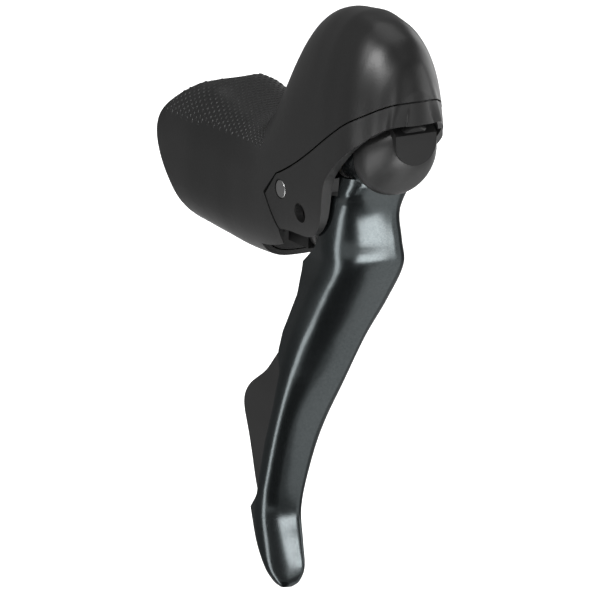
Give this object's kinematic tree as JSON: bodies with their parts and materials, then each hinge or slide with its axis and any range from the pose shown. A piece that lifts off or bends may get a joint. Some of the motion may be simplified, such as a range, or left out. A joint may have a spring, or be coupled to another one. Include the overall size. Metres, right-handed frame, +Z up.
{
  "type": "road brake shift lever",
  "caption": "Right-hand hydraulic brake and shift lever for a drop handlebar: rubber hood with a tall front knob, clamp band, shift unit, brake blade and release paddle behind it.",
  "frame": {"origin": "centre of the handlebar clamp, in the middle of the band's width", "axes": "+X forward from the bar to the knob, +Y to the rider's left (inboard on this right-hand lever), +Z up along the clamp's axis"},
  "size_m": [0.1332, 0.0384, 0.1789],
  "materials": {
    "hood_rubber": "soft matt rubber, dimpled on the grip",
    "bracket_resin": "fine satin moulding",
    "cover_resin": "smooth satin moulding",
    "blade_paint": "dark grey-green metallic paint",
    "paddle_resin": "matt moulding",
    "dark_alloy": "blasted and black anodised",
    "plain_alloy": "turned",
    "bright_steel": "turned or rolled",
    "dark_steel": "blackened",
    "bush_bronze": "plain bearing bronze",
    "seal_rubber": "smooth nitrile",
    "drum_resin": "moulded acetal"
  },
  "bodies": {
    "bracket": {"bracket_body": "bracket_resin", "hood": "hood_rubber", "clamp_band": "bright_steel", "clamp_nut": "bright_steel", "clamp_bolt": "dark_steel", "lever_pivot_pin": "bright_steel", "pivot_set_screw": "dark_steel", "lever_return_spring": "bright_steel", "reservoir_diaphragm": "seal_rubber", "reservoir_lid": "bracket_resin", "lid_screws": "bright_steel", "bleed_screw": "bright_steel", "master_cylinder": "plain_alloy", "piston_circlip": "bright_steel", "piston_spring": "bright_steel"},
    "piston_unit": {"piston": "plain_alloy", "primary_seal": "seal_rubber", "secondary_seal": "seal_rubber", "push_rod": "bright_steel"},
    "carrier": {"lever_carrier": "dark_alloy", "pivot_bushes": "bush_bronze", "reach_screw": "bright_steel", "main_shaft": "bright_steel", "index_plate": "bright_steel", "hold_pawl_pin": "bright_steel", "unit_cover": "cover_resin", "paddle_spring": "bright_steel"},
    "blade": {"brake_blade": "blade_paint", "blade_bush": "bush_bronze", "blade_spring": "bright_steel", "drive_pawl_pin": "bright_steel"},
    "paddle": {"release_paddle": "paddle_resin", "paddle_bush": "bush_bronze"},
    "drum": {"cable_drum": "drum_resin"},
    "hold_pawl_unit": {"hold_pawl": "dark_steel"},
    "drive_pawl_unit": {"drive_pawl": "dark_steel"}
  },
  "joints": [
    {"name": "brake_pivot", "type": "hinge", "parent": "bracket", "child": "carrier", "pos_m": [0.067, 0, 0.004], "axis": [0, 1, 0], "range_deg": [0, 22], "stiffness_Nm_per_rad": 0.15, "springref_deg": -22.92},
    {"name": "piston_stroke", "type": "slide", "parent": "bracket", "child": "piston_unit", "axis": [0.5, 0, 0.866], "range_m": [0, 0.0043], "deforming": ["piston_spring"]},
    {"name": "shift_swing", "type": "hinge", "parent": "carrier", "child": "blade", "pos_m": [0.093, 0, 0.0216], "axis": [1, 0, 0], "range_deg": [0, 20], "stiffness_Nm_per_rad": 0.06, "springref_deg": -28.65},
    {"name": "paddle_swing", "type": "hinge", "parent": "blade", "child": "paddle", "pos_m": [0.088, 0, 0.0216], "axis": [1, 0, 0], "range_deg": [0, 12], "stiffness_Nm_per_rad": 0.02, "springref_deg": -28.65},
    {"name": "drum_turn", "type": "hinge", "parent": "carrier", "child": "drum", "pos_m": [0.1046, 0, 0.0216], "axis": [1, 0, 0], "range_deg": [0, 90]},
    {"name": "hold_pawl_lift", "type": "hinge", "parent": "carrier", "child": "hold_pawl_unit", "pos_m": [0.1046, -0.00077, 0.01283], "axis": [-1, 0, 0], "range_deg": [0, 8], "stiffness_Nm_per_rad": 0.001, "springref_deg": -28.65},
    {"name": "drive_pawl_lift", "type": "hinge", "parent": "blade", "child": "drive_pawl_unit", "pos_m": [0.1046, -0.00077, 0.03037], "axis": [-1, 0, 0], "range_deg": [0, 8], "stiffness_Nm_per_rad": 0.001, "springref_deg": -28.65}
  ],
  "couplings": [
    {"joint": "piston_stroke", "follows": "brake_pivot", "m_per_rad": 0.01115}
  ]
}
